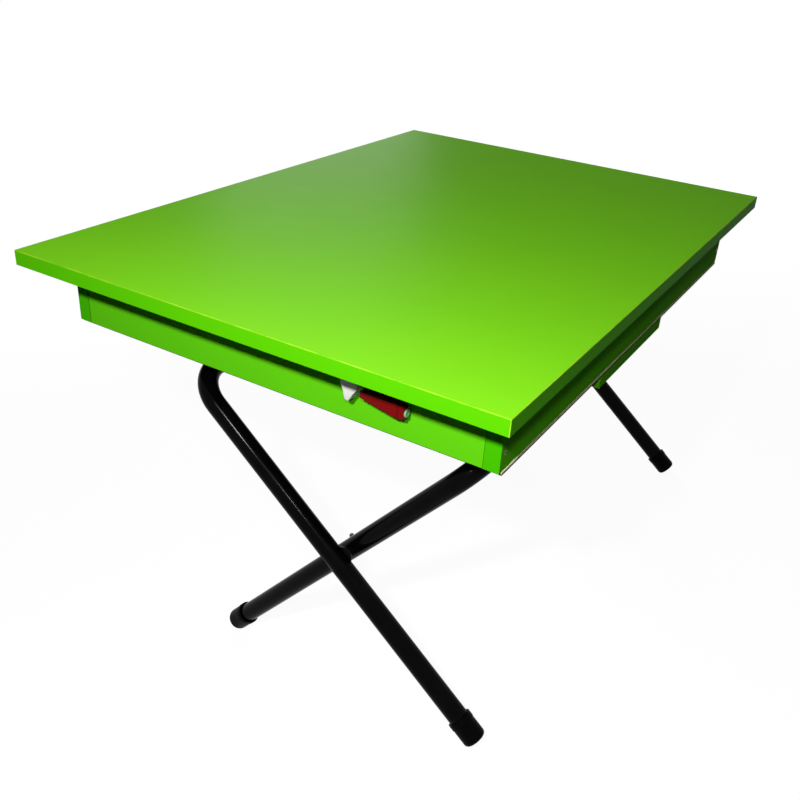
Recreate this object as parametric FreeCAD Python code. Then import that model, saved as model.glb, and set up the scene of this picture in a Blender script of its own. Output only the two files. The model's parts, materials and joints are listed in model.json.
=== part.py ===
import FreeCAD, Part
import math
import os
from FreeCAD import Placement, Rotation, Vector

# Folding sewing table. A laminated lid is hinged on a shallow tray, and two crossed frames of bent tube
# carry the tray. The inner frame turns in blocks under the tray; the outer frame's crossbar slides in
# guides, so that the cross flattens against the tray.
#
# Every piece is drawn in the frame of the top: X across the table towards the sitter, Y along its long
# side, Z square to the lid, zero in the middle of the lid's upper face. The top slopes towards the sitter,
# so the finished pieces are turned by that slope and stood on the floor at Z = 0. Millimetres.

# Lid and tray
LID_WIDTH = 560.0
LID_LENGTH = 780.0
BOARD = 16.0
LID_BAND = 1.0
PANEL_BAND = 0.6
ARRIS = 0.5
OVERHANG_SIDE = 26.0
OVERHANG_END = 51.0
TRAY_WALL = 70.0
HARDBOARD = 3.0
HARDBOARD_PROUD = 1.0
HARDBOARD_SETBACK = 4.0

# Bearer board under the tray
BEARER_LENGTH = 200.0
SUPPORT_Y = 75.0

# Leg frames: the outer one slides at its crossbar, the inner one turns there
TUBE = 22.0
TUBE_WALL = 1.5
BEND_RADIUS = 38.0
CROSSBAR_DROP = 2.0
OUTER_CROSSBAR_INSET = 144.0
INNER_CROSSBAR_INSET = 38.0
OUTER_ANGLE = 39.5
INNER_ANGLE = 48.6
OUTER_LENGTH = 478.0
INNER_LENGTH = 455.0
OUTER_HALF_SPAN = 319.0

# Foot caps
CAP_WALL = 2.2
CAP_LENGTH = 29.0
CAP_END = 4.0
CAP_ROUND = 4.0
CAP_LIP = 0.8
SOLE_DROP = 6.5

# Pivots where the frames cross
STUD_RADIUS = 3.0
STUD_HEAD_RADIUS = 5.0
STUD_HEAD = 2.0
STUD_SPARE = 3.0
SPACER_RADIUS = 10.0
SPACER_THICKNESS = 2.0
WASHER_RADIUS = 8.0
WASHER_THICKNESS = 1.2
NUT_RADIUS = 6.0
NUT_HEIGHT = 6.0
WING_SPAN = 15.0
WING_LIFT = 1.8
WING_RISE = 5.0
WING_THICKNESS = 3.0

# Supports for the crossbars
BLOCK_LENGTH = 52.0
BLOCK_WIDTH = 26.0
BLOCK_WALL = 4.0
BLOCK_EAR = 5.0
BLOCK_ROUND = 3.0
GUIDE_WIDTH = 20.0
GUIDE_STRIP = 2.5
GUIDE_SLACK = 3.2
GUIDE_END_GAP = 1.0
GUIDE_TAB = 24.0
GUIDE_TAB_RISE = 13.0
GUIDE_ROUND = 1.5

# Lid hinges
HINGE_INSET = 119.0
HINGE_LENGTH = 64.0
HINGE_KNUCKLE = 3.2
HINGE_PIN = 1.6
HINGE_PIN_HEAD = 2.4
HINGE_LEAF = 1.5
HINGE_OFFSET = 4.0
TRAY_LEAF_WIDTH = 24.0
LID_LEAF_WIDTH = 19.0
HINGE_SCREW_Y = (-22.0, 0.0, 22.0)

# Sliding catch at the front end of the tray
KEEPER_X = 108.5
KEEPER_WIDTH = 18.0
KEEPER_PLATE = 2.5
KEEPER_WALL = 2.0
KEEPER_SHOULDER = 20.0
KEEPER_DROP = 43.0
KEEPER_TIP_SHIFT = -2.5
KEEPER_TIP_HALF = 2.0
KEEPER_ROUND = 1.2
KEEPER_FOOT = 28.0
KEEPER_FOOT_THICKNESS = 4.0
KEEPER_SCREW_SPREAD = 4.5
KEEPER_SCREW_INSET = 5.0
CATCH_DROP = 30.6
CATCH_THROW = 14.0
CATCH_BOLT_GAP = 1.5
CATCH_BOLT_LENGTH = 43.0
CATCH_NOSE = 6.0
CATCH_END = 15.0
CATCH_BOLT_THICKNESS = 9.0
CATCH_BOLT_ROUND = 1.5
CATCH_GROOVE = 0.8
CATCH_GROOVE_INSET = 4.0
BUTTON_RADIUS = 4.0
BUTTON_LENGTH = 4.5
RAIL_DROP = 4.0
RAIL_SETBACK = 9.0
RAIL_EAR = 8.0
RAIL_PLATE_HALF = 2.6
RAIL_NECK_HALF = 1.25
RAIL_NECK = 2.5
RAIL_HEAD_HALF = 2.25
RAIL_HEAD = 1.8

# Fasteners: length, shank radius, head radius
TRAY_SCREW = (45.0, 1.5, 2.2)
BEARER_SCREW = (45.0, 2.0, 3.9)
BLOCK_SCREW = (18.0, 1.75, 3.4)
GUIDE_SCREW = (14.0, 1.75, 3.4)
SMALL_SCREW = (13.0, 1.5, 2.9)
RAIL_SCREW = (12.0, 1.0, 1.9)
SCREW_TIP = 4.0
RECESS_RIM = 1.1
RECESS_WIDTH = 0.9
RECESS_DEPTH = 1.2
TRAY_SCREW_HEIGHTS = (18.0, 52.0)
BEARER_SCREW_Y = (-80.0, 0.0, 80.0)
NAIL_LENGTH = 20.0
NAIL_RADIUS = 0.8
NAIL_HEAD_RADIUS = 2.0
NAIL_HEAD = 0.7
NAIL_MARGIN = 45.0
NAILS_PER_SIDE = 6
NAILS_PER_END = 5

# Clearances: FIT round pins and screws, TURN in a bearing, RUN between bodies that move past each other
FIT = 0.05
TURN = 0.08
RUN = 0.3

# Sizes that follow
HALF_LID = LID_WIDTH / 2
HALF_LENGTH = LID_LENGTH / 2
TRAY_X = HALF_LID - OVERHANG_SIDE
TRAY_Y = HALF_LENGTH - OVERHANG_END
LID_UNDER = -BOARD
WALL_FOOT = LID_UNDER - TRAY_WALL
TRAY_UNDER = WALL_FOOT - HARDBOARD
BEARER_UNDER = TRAY_UNDER - BOARD
TUBE_RADIUS = TUBE / 2
CROSSBAR_Z = BEARER_UNDER - CROSSBAR_DROP - TUBE_RADIUS
OUTER_SLOPE = math.radians(OUTER_ANGLE)
INNER_SLOPE = math.radians(INNER_ANGLE)
OUTER_CROSSBAR_X = OUTER_CROSSBAR_INSET - TRAY_X
INNER_CROSSBAR_X = TRAY_X - INNER_CROSSBAR_INSET
CROSSBAR_SPAN = INNER_CROSSBAR_X - OUTER_CROSSBAR_X
OUTER_PIVOT = CROSSBAR_SPAN * math.sin(INNER_SLOPE) / math.sin(OUTER_SLOPE + INNER_SLOPE)
INNER_PIVOT = CROSSBAR_SPAN * math.sin(OUTER_SLOPE) / math.sin(OUTER_SLOPE + INNER_SLOPE)
INNER_HALF_SPAN = OUTER_HALF_SPAN - TUBE - SPACER_THICKNESS - RUN
PIVOT_X = INNER_CROSSBAR_X - INNER_PIVOT * math.cos(INNER_SLOPE)
PIVOT_Z = CROSSBAR_Z - INNER_PIVOT * math.sin(INNER_SLOPE)
CAP_BORE = TUBE_RADIUS + FIT
CAP_RADIUS = CAP_BORE + CAP_WALL
BLOCK_BORE = TUBE_RADIUS + TURN
BLOCK_HOOD = BLOCK_BORE + BLOCK_WALL
BLOCK_SCREW_REACH = (BLOCK_HOOD + BLOCK_LENGTH / 2) / 2
BLOCK_EAR_FOOT = BEARER_UNDER - BLOCK_EAR
HINGE_X = -TRAY_X - HINGE_OFFSET
HINGE_Y = TRAY_Y - HINGE_INSET
HINGE_Z = LID_UNDER - HINGE_OFFSET
CATCH_TOP = LID_UNDER - CATCH_DROP
CATCH_NOSE_X = KEEPER_X + KEEPER_WIDTH / 2 + CATCH_BOLT_GAP
CATCH_END_X = CATCH_NOSE_X + CATCH_BOLT_LENGTH
CATCH_TAPER = (CATCH_END - CATCH_NOSE) / CATCH_BOLT_LENGTH
CATCH_THROWN_FOOT = CATCH_TOP - CATCH_NOSE - CATCH_TAPER * (CATCH_THROW - CATCH_BOLT_GAP)
KEEPER_BACK_Y = -TRAY_Y - RUN
RAIL_X = CATCH_NOSE_X + RAIL_SETBACK
RAIL_Z = CATCH_TOP - RAIL_DROP
RAIL_LENGTH = CATCH_BOLT_LENGTH - CATCH_THROW - RAIL_SETBACK - RUN
RAIL_PLATE_Y = KEEPER_BACK_Y - KEEPER_PLATE
RAIL_NECK_Y = RAIL_PLATE_Y - RAIL_NECK
RAIL_HEAD_Y = RAIL_NECK_Y - RAIL_HEAD
BOLT_BACK_Y = RAIL_PLATE_Y - RUN
BOLT_FRONT_Y = BOLT_BACK_Y - CATCH_BOLT_THICKNESS

# The foot of each frame, the slope of the top over the line through both feet, and the stand on the floor
OUTER_FOOT_X = OUTER_CROSSBAR_X + OUTER_LENGTH * math.cos(OUTER_SLOPE)
OUTER_FOOT_Z = CROSSBAR_Z - OUTER_LENGTH * math.sin(OUTER_SLOPE)
INNER_FOOT_X = INNER_CROSSBAR_X - INNER_LENGTH * math.cos(INNER_SLOPE)
INNER_FOOT_Z = CROSSBAR_Z - INNER_LENGTH * math.sin(INNER_SLOPE)
TOP_SLOPE = math.atan2(OUTER_FOOT_Z - INNER_FOOT_Z, OUTER_FOOT_X - INNER_FOOT_X)
STAND_X = BOARD / 2 * math.sin(TOP_SLOPE)
STAND_Z = SOLE_DROP + OUTER_FOOT_X * math.sin(TOP_SLOPE) - OUTER_FOOT_Z * math.cos(TOP_SLOPE)
STAND = Placement(Vector(STAND_X, 0, STAND_Z), Rotation(Vector(0, 1, 0), math.degrees(TOP_SLOPE)))

UP = Vector(0, 0, 1)
DOWN = Vector(0, 0, -1)
RIGHT = Vector(1, 0, 0)
LEFT = Vector(-1, 0, 0)
BACK = Vector(0, 1, 0)
SIDES = (("front", -1), ("back", 1))


def box(low, high):
    """A box between two corners."""
    low = Vector(*low)
    size = Vector(*high) - low
    return Part.makeBox(size.x, size.y, size.z, low)


def board(low, high, arris=ARRIS):
    """A board whose edges are eased."""
    plain = box(low, high)
    return plain.makeFillet(arris, plain.Edges)


def edges_at(shape, **where):
    """The edges of a shape whose middles lie at the given coordinates."""
    return [edge for edge in shape.Edges
            if all(abs(getattr(edge.CenterOfMass, axis) - value) < FIT for axis, value in where.items())]


def rod(radius, start, end):
    """A round bar from one point to another."""
    start = Vector(*start)
    along = Vector(*end) - start
    return Part.makeCylinder(radius, along.Length, start, along)


def prism(points, along):
    """A flat outline pushed along a vector."""
    outline = Part.makePolygon(points + points[:1])
    return Part.Face(outline).extrude(along)


def turned(profile):
    """A solid of revolution about Z from (radius, height) points."""
    points = [Vector(radius, 0, height) for radius, height in profile]
    outline = Part.makePolygon(points + points[:1])
    return Part.Face(outline).revolve(Vector(0, 0, 0), UP, 360)


def aimed(shape, place, direction):
    """A copy of a shape drawn pointing down, moved to a place and aimed along a direction."""
    moved = shape.copy()
    moved.Placement = Placement(Vector(*place), Rotation(DOWN, direction))
    return moved


def screw_body(size, ease=0.0):
    """A countersunk screw pointing down from its head, or the hole for it when eased."""
    length, shank, head = size
    shank += ease
    head += ease
    length += ease
    sink = head - shank
    return turned([(0, 0), (head, 0), (shank, -sink), (shank, SCREW_TIP - length), (0, -length)])


def screw(size):
    """A countersunk screw with a cross recess."""
    head = size[2]
    reach = head - RECESS_RIM
    body = screw_body(size)
    for across in (RIGHT, BACK):
        half = across * reach + (RIGHT + BACK - across) * (RECESS_WIDTH / 2)
        slot = box((-half.x, -half.y, -RECESS_DEPTH), (half.x, half.y, RECESS_DEPTH))
        body = body.cut(slot)
    return body


def screw_set(size, spots):
    """Screws at a list of (place, direction) and the holes that they need."""
    screws = [aimed(screw(size), place, direction) for place, direction in spots]
    holes = [aimed(screw_body(size, FIT), place, direction) for place, direction in spots]
    return Part.makeCompound(screws), holes


def nail_set(spots):
    """Round-headed nails driven up at a list of places, and the holes that they need."""
    def body(ease):
        shank = NAIL_RADIUS + ease
        return turned([(0, -NAIL_HEAD), (NAIL_HEAD_RADIUS, -NAIL_HEAD), (NAIL_HEAD_RADIUS, 0),
                       (shank, 0), (shank, NAIL_LENGTH + ease), (0, NAIL_LENGTH + ease)])
    nails = []
    holes = []
    for place in spots:
        nails.append(body(0).translated(Vector(*place)))
        holes.append(body(FIT).translated(Vector(*place)))
    return Part.makeCompound(nails), holes


def swept(path, radius):
    """A round bar along a path of lines and arcs."""
    edge = path.Edges[0]
    section = Part.Wire(Part.makeCircle(radius, edge.valueAt(edge.FirstParameter),
                                        edge.tangentAt(edge.FirstParameter)))
    return path.makePipeShell([section], True, False)


def frame_path(half_span, length):
    """The centre line of a leg frame in its own plane: crossbar on Y, legs along X."""
    bend = BEND_RADIUS
    inset = bend * (1 - math.sqrt(0.5))
    edges = [
        Part.makeLine(Vector(length, -half_span, 0), Vector(bend, -half_span, 0)),
        Part.Arc(Vector(bend, -half_span, 0), Vector(inset, inset - half_span, 0),
                 Vector(0, bend - half_span, 0)).toShape(),
        Part.makeLine(Vector(0, bend - half_span, 0), Vector(0, half_span - bend, 0)),
        Part.Arc(Vector(0, half_span - bend, 0), Vector(inset, half_span - inset, 0),
                 Vector(bend, half_span, 0)).toShape(),
        Part.makeLine(Vector(bend, half_span, 0), Vector(length, half_span, 0)),
    ]
    return Part.Wire(edges)


def leg_frame(half_span, length, pivot, stance):
    """A bent tube with the studs' holes in its legs, inwards of the outer legs' middles."""
    path = frame_path(half_span, length - CAP_END)
    tube = swept(path, TUBE_RADIUS).cut(swept(path, TUBE_RADIUS - TUBE_WALL))
    tube = tube.cut(rod(STUD_RADIUS + TURN, (pivot, -OUTER_HALF_SPAN, 0), (pivot, OUTER_HALF_SPAN, 0)))
    tube.Placement = stance
    return tube


def foot_cap(y, length, stance):
    """A push-on cap over a leg's end, flat where it meets the floor."""
    rim = length - CAP_LENGTH
    shell = turned([(0, length), (CAP_RADIUS, length), (CAP_RADIUS, rim), (0, rim)])
    shell = shell.makeFillet(CAP_ROUND, edges_at(shell, z=length))
    shell = shell.makeFillet(CAP_LIP, edges_at(shell, z=rim))
    cap = shell.cut(rod(CAP_BORE, (0, 0, rim - FIT), (0, 0, length - CAP_END)))
    cap.Placement = stance.multiply(Placement(Vector(0, y, 0), Rotation(UP, RIGHT)))
    reach = LID_WIDTH
    below = box((-reach, -reach, -reach), (reach, reach, 0))
    below.Placement = STAND.inverse()
    return cap.cut(below)


def lid():
    """The lid board and the band round its edge."""
    inner_x = HALF_LID - LID_BAND
    inner_y = HALF_LENGTH - LID_BAND
    core = box((-inner_x, -inner_y, LID_UNDER), (inner_x, inner_y, 0))
    band = board((-HALF_LID, -HALF_LENGTH, LID_UNDER), (HALF_LID, HALF_LENGTH, 0)).cut(core)
    return core, band


def tray_panels():
    """The four walls of the tray and the bands on the ends of its long sides."""
    inner_x = TRAY_X - BOARD
    panels = {}
    for name, side in (("left", -1), ("right", 1)):
        low, high = sorted((side * inner_x, side * TRAY_X))
        panel_y = TRAY_Y - PANEL_BAND
        panels["tray_side_" + name] = board((low, -panel_y, WALL_FOOT), (high, panel_y, LID_UNDER))
        bands = []
        for end in (-1, 1):
            near, far = sorted((end * panel_y, end * TRAY_Y))
            bands.append(box((low, near, WALL_FOOT), (high, far, LID_UNDER)))
        panels["tray_end_bands_" + name] = Part.makeCompound(bands)
    for name, end in SIDES:
        near, far = sorted((end * (TRAY_Y - BOARD), end * TRAY_Y))
        panels["tray_" + name] = board((-inner_x, near, WALL_FOOT), (inner_x, far, LID_UNDER))
    return panels


def nail_spots():
    """Places of the nails that hold the hardboard, under the middle of each wall and clear of the bearer."""
    wall_x = TRAY_X - BOARD / 2
    wall_y = TRAY_Y - BOARD / 2
    bearer_y = BEARER_LENGTH / 2 + NAIL_HEAD_RADIUS
    spots = []
    for step in range(NAILS_PER_SIDE):
        y = -wall_y + NAIL_MARGIN + step * 2 * (wall_y - NAIL_MARGIN) / (NAILS_PER_SIDE - 1)
        if abs(y) > bearer_y:
            spots += [(-wall_x, y, TRAY_UNDER), (wall_x, y, TRAY_UNDER)]
    for step in range(NAILS_PER_END):
        x = -wall_x + NAIL_MARGIN + step * 2 * (wall_x - NAIL_MARGIN) / (NAILS_PER_END - 1)
        spots += [(x, -wall_y, TRAY_UNDER), (x, wall_y, TRAY_UNDER)]
    return spots


def hinge(y):
    """One lid hinge: the leaf on the tray, the leaf on the lid and the pin."""
    low = y - HINGE_LENGTH / 2
    high = y + HINGE_LENGTH / 2
    third = HINGE_LENGTH / 3
    mid_low = low + third
    mid_high = high - third

    def knuckle(start, end, radius=HINGE_KNUCKLE):
        return rod(radius, (HINGE_X, start, HINGE_Z), (HINGE_X, end, HINGE_Z))

    bore = knuckle(low - FIT, high + FIT, HINGE_PIN + FIT)
    room = HINGE_KNUCKLE + RUN
    tray_leaf = box((-TRAY_X - HINGE_LEAF, low, HINGE_Z - TRAY_LEAF_WIDTH), (-TRAY_X, high, HINGE_Z))
    tray_leaf = tray_leaf.cut(knuckle(mid_low - RUN, mid_high + RUN, room))
    tray_leaf = tray_leaf.fuse([knuckle(low, mid_low - RUN), knuckle(mid_high + RUN, high)]).cut(bore)
    lid_leaf = box((HINGE_X - LID_LEAF_WIDTH, low, LID_UNDER - HINGE_LEAF), (HINGE_X, high, LID_UNDER))
    lid_leaf = lid_leaf.cut([knuckle(low, mid_low, room), knuckle(mid_high, high, room)])
    lid_leaf = lid_leaf.fuse(knuckle(mid_low, mid_high)).cut(bore)
    pin = knuckle(low, high, HINGE_PIN)
    for end, outward in ((low, -1), (high, 1)):
        pin = pin.fuse(knuckle(end, end + outward * HINGE_LEAF, HINGE_PIN_HEAD))
    return tray_leaf, lid_leaf, pin


def pivot(side):
    """The stud, spacer, washer and wing nut of one crossing, on the front (-1) or back (1) legs."""
    def bar(radius, start, end):
        return rod(radius, (PIVOT_X, side * start, PIVOT_Z), (PIVOT_X, side * end, PIVOT_Z))

    def ring(radius, start, thickness):
        end = start - thickness
        return bar(radius, start, end).cut(bar(STUD_RADIUS + FIT, start + FIT, end - FIT))

    bore = TUBE_RADIUS - TUBE_WALL
    head_seat = OUTER_HALF_SPAN - math.sqrt(bore ** 2 - STUD_HEAD_RADIUS ** 2) + FIT
    inside = INNER_HALF_SPAN - TUBE_RADIUS - RUN
    nut_face = inside - WASHER_THICKNESS
    nut_end = nut_face - NUT_HEIGHT
    stud = bar(STUD_HEAD_RADIUS, head_seat + STUD_HEAD, head_seat)
    stud = stud.fuse(bar(STUD_RADIUS, head_seat, nut_end - STUD_SPARE))
    spacer = ring(SPACER_RADIUS, OUTER_HALF_SPAN - TUBE_RADIUS, SPACER_THICKNESS)
    washer = ring(WASHER_RADIUS, inside, WASHER_THICKNESS)
    nut = ring(NUT_RADIUS, nut_face, NUT_HEIGHT)
    for wing in (-1, 1):
        root = wing * (STUD_RADIUS + NUT_RADIUS) / 2
        rim = wing * NUT_RADIUS
        reach = wing * WING_SPAN
        outline = [(root, nut_face), (rim, nut_face), (reach, nut_face - WING_LIFT),
                   (reach, nut_end - WING_RISE), (rim, nut_end), (root, nut_end)]
        blade = prism([Vector(x, side * y, 0) for x, y in outline], UP * WING_THICKNESS)
        blade.translate(Vector(PIVOT_X, 0, PIVOT_Z - WING_THICKNESS / 2))
        nut = nut.fuse(blade)
    return stud, spacer, washer, nut


def bearing_block(y):
    """A saddle under the bearer, a hood between two screwed ears, in which the inner crossbar turns."""
    near = y - BLOCK_WIDTH / 2
    far = y + BLOCK_WIDTH / 2

    def slab(half, foot):
        return box((INNER_CROSSBAR_X - half, near, foot), (INNER_CROSSBAR_X + half, far, BEARER_UNDER))

    def bar(radius):
        return rod(radius, (INNER_CROSSBAR_X, near, CROSSBAR_Z), (INNER_CROSSBAR_X, far, CROSSBAR_Z))

    hood = bar(BLOCK_HOOD).common(slab(BLOCK_HOOD, CROSSBAR_Z - BLOCK_HOOD))
    hood = hood.fuse([slab(BLOCK_HOOD, CROSSBAR_Z), slab(BLOCK_LENGTH / 2, BLOCK_EAR_FOOT)]).removeSplitter()
    for side in (-1, 1):
        corner = edges_at(hood, x=INNER_CROSSBAR_X + side * BLOCK_HOOD, y=y, z=BLOCK_EAR_FOOT)
        hood = hood.makeFillet(BLOCK_ROUND, corner)
    return hood.cut(bar(BLOCK_BORE))


def slide_guide(y):
    """A bent strip that carries the outer frame's sliding crossbar, and the glide strip above it."""
    right = OUTER_CROSSBAR_X + TUBE_RADIUS + GUIDE_END_GAP
    left = -TRAY_X
    run_top = CROSSBAR_Z - TUBE_RADIUS - GUIDE_SLACK
    run_foot = run_top - GUIDE_STRIP
    tab_top = BEARER_UNDER + GUIDE_TAB_RISE
    outline = [
        Vector(right + GUIDE_TAB, 0, BEARER_UNDER), Vector(right, 0, BEARER_UNDER), Vector(right, 0, run_top),
        Vector(left, 0, run_top), Vector(left, 0, tab_top), Vector(left - GUIDE_STRIP, 0, tab_top),
        Vector(left - GUIDE_STRIP, 0, run_foot), Vector(right + GUIDE_STRIP, 0, run_foot),
        Vector(right + GUIDE_STRIP, 0, BEARER_UNDER - GUIDE_STRIP),
        Vector(right + GUIDE_TAB, 0, BEARER_UNDER - GUIDE_STRIP),
    ]
    strip = prism(outline, BACK * GUIDE_WIDTH)
    strip = strip.makeFillet(GUIDE_ROUND, edges_at(strip, y=GUIDE_WIDTH / 2, z=run_foot))
    strip = strip.translated(Vector(0, y - GUIDE_WIDTH / 2, 0))
    glide = box((left, y - GUIDE_WIDTH / 2, BEARER_UNDER - CROSSBAR_DROP + RUN),
                (right, y + GUIDE_WIDTH / 2, BEARER_UNDER))
    return strip, glide


def keeper():
    """The keeper under the lid: a foot and a pointed tooth, hollow so that the bolt's nose slides in."""
    half = KEEPER_WIDTH / 2
    low_x = KEEPER_X - half
    high_x = KEEPER_X + half
    front = BOLT_FRONT_Y - RUN - KEEPER_WALL
    shoulder = LID_UNDER - KEEPER_SHOULDER
    tip = LID_UNDER - KEEPER_DROP
    tip_x = KEEPER_X + KEEPER_TIP_SHIFT
    outline = [(low_x, LID_UNDER), (high_x, LID_UNDER), (high_x, shoulder), (tip_x + KEEPER_TIP_HALF, tip),
               (tip_x - KEEPER_TIP_HALF, tip), (low_x, shoulder)]
    tooth = prism([Vector(x, front, z) for x, z in outline], BACK * (KEEPER_BACK_Y - front))
    in_front = [edge for edge in tooth.Edges if edge.CenterOfMass.y < KEEPER_BACK_Y - FIT]
    rounds = [edge for edge in in_front if edge.CenterOfMass.z < LID_UNDER - FIT]
    tooth = tooth.makeFillet(KEEPER_ROUND, rounds)
    pocket = box((CATCH_NOSE_X - CATCH_THROW - RUN, BOLT_FRONT_Y - RUN, CATCH_THROWN_FOOT - RUN),
                 (high_x, KEEPER_BACK_Y - KEEPER_PLATE, CATCH_TOP + RUN))
    foot = box((low_x, KEEPER_BACK_Y - KEEPER_FOOT, LID_UNDER - KEEPER_FOOT_THICKNESS),
               (high_x, KEEPER_BACK_Y, LID_UNDER))
    return tooth.cut(pocket).fuse(foot).removeSplitter()


def catch_rail():
    """The rail on the tray's front end that the catch bolt slides on."""
    def layer(half, near, far, ear=0.0):
        return box((RAIL_X - ear, far, RAIL_Z - half), (RAIL_X + RAIL_LENGTH + ear, near, RAIL_Z + half))
    plate = layer(RAIL_PLATE_HALF, -TRAY_Y, RAIL_PLATE_Y, RAIL_EAR)
    neck = layer(RAIL_NECK_HALF, RAIL_PLATE_Y, RAIL_NECK_Y)
    head = layer(RAIL_HEAD_HALF, RAIL_NECK_Y, RAIL_HEAD_Y)
    return plate.fuse([neck, head]).removeSplitter()


def catch_bolt():
    """The tapered bolt, slotted as far as its stop to fit the rail, and the button on its wide end."""
    outline = [(CATCH_NOSE_X, CATCH_TOP - CATCH_NOSE), (CATCH_END_X, CATCH_TOP - CATCH_END),
               (CATCH_END_X, CATCH_TOP), (CATCH_NOSE_X, CATCH_TOP)]
    body = prism([Vector(x, BOLT_FRONT_Y, z) for x, z in outline], BACK * CATCH_BOLT_THICKNESS)
    rounds = [edge for edge in body.Edges if edge.CenterOfMass.y < BOLT_BACK_Y - FIT]
    body = body.makeFillet(CATCH_BOLT_ROUND, rounds)
    neck_half = RAIL_NECK_HALF + RUN
    head_half = RAIL_HEAD_HALF + RUN
    stop = RAIL_X - RUN
    neck_room = box((stop, RAIL_NECK_Y, RAIL_Z - neck_half), (CATCH_END_X, BOLT_BACK_Y, RAIL_Z + neck_half))
    head_room = box((stop, RAIL_HEAD_Y - RUN, RAIL_Z - head_half),
                    (CATCH_END_X, RAIL_NECK_Y + RUN, RAIL_Z + head_half))
    groove_x = CATCH_END_X - CATCH_GROOVE_INSET
    groove = box((groove_x, BOLT_FRONT_Y, CATCH_TOP - CATCH_END),
                 (groove_x + CATCH_GROOVE, BOLT_FRONT_Y + CATCH_GROOVE, CATCH_TOP))
    body = body.cut([neck_room, head_room, groove])
    middle_y = (BOLT_BACK_Y + BOLT_FRONT_Y) / 2
    middle_z = CATCH_TOP - CATCH_END / 2
    tip = CATCH_END_X + BUTTON_LENGTH
    button = rod(BUTTON_RADIUS, (CATCH_END_X, middle_y, middle_z), (tip, middle_y, middle_z))
    return body, button.makeFillet(CATCH_BOLT_ROUND, edges_at(button, x=tip))


def screw_spots():
    """Where each set of screws goes and which way it points."""
    wall_x = TRAY_X - BOARD / 2
    wall_y = TRAY_Y - BOARD / 2
    tray = []
    for side, inward in ((-1, RIGHT), (1, LEFT)):
        for end in (-1, 1):
            for drop in TRAY_SCREW_HEIGHTS:
                tray.append(((side * TRAY_X, end * wall_y, LID_UNDER - drop), inward))
    bearer = [((side * wall_x, y, BEARER_UNDER), UP) for side in (-1, 1) for y in BEARER_SCREW_Y]
    blocks = [((INNER_CROSSBAR_X + reach, y, BLOCK_EAR_FOOT), UP)
              for y in (-SUPPORT_Y, SUPPORT_Y) for reach in (-BLOCK_SCREW_REACH, BLOCK_SCREW_REACH)]
    guides = []
    tab_x = OUTER_CROSSBAR_X + TUBE_RADIUS + GUIDE_END_GAP + GUIDE_STRIP + GUIDE_TAB / 2
    for y in (-SUPPORT_Y, SUPPORT_Y):
        guides.append(((tab_x, y, BEARER_UNDER - GUIDE_STRIP), UP))
        guides.append(((-TRAY_X - GUIDE_STRIP, y, (TRAY_UNDER + BEARER_UNDER) / 2), RIGHT))
    leaf_z = HINGE_Z - TRAY_LEAF_WIDTH / 2 - HINGE_KNUCKLE / 2
    leaf_x = HINGE_X - LID_LEAF_WIDTH / 2 - HINGE_KNUCKLE / 2
    hinge_tray = []
    hinge_lid = []
    for side in (-1, 1):
        for y in HINGE_SCREW_Y:
            hinge_tray.append(((-TRAY_X - HINGE_LEAF, side * HINGE_Y + y, leaf_z), RIGHT))
            hinge_lid.append(((leaf_x, side * HINGE_Y + y, LID_UNDER - HINGE_LEAF), UP))
    keeper_y = KEEPER_BACK_Y - KEEPER_FOOT + KEEPER_SCREW_INSET
    keeper_z = LID_UNDER - KEEPER_FOOT_THICKNESS
    keepers = [((KEEPER_X + side * KEEPER_SCREW_SPREAD, keeper_y, keeper_z), UP) for side in (-1, 1)]
    rail_x = RAIL_X + RAIL_LENGTH / 2
    rail_reach = (RAIL_LENGTH + RAIL_EAR) / 2
    rails = [((rail_x + side * rail_reach, RAIL_PLATE_Y, RAIL_Z), BACK) for side in (-1, 1)]
    return {"tray_screws": (TRAY_SCREW, tray), "bearer_screws": (BEARER_SCREW, bearer),
            "block_screws": (BLOCK_SCREW, blocks), "guide_screws": (GUIDE_SCREW, guides),
            "hinge_screws_tray": (SMALL_SCREW, hinge_tray), "hinge_screws_lid": (SMALL_SCREW, hinge_lid),
            "keeper_screws": (SMALL_SCREW, keepers), "rail_screws": (RAIL_SCREW, rails)}


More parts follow.
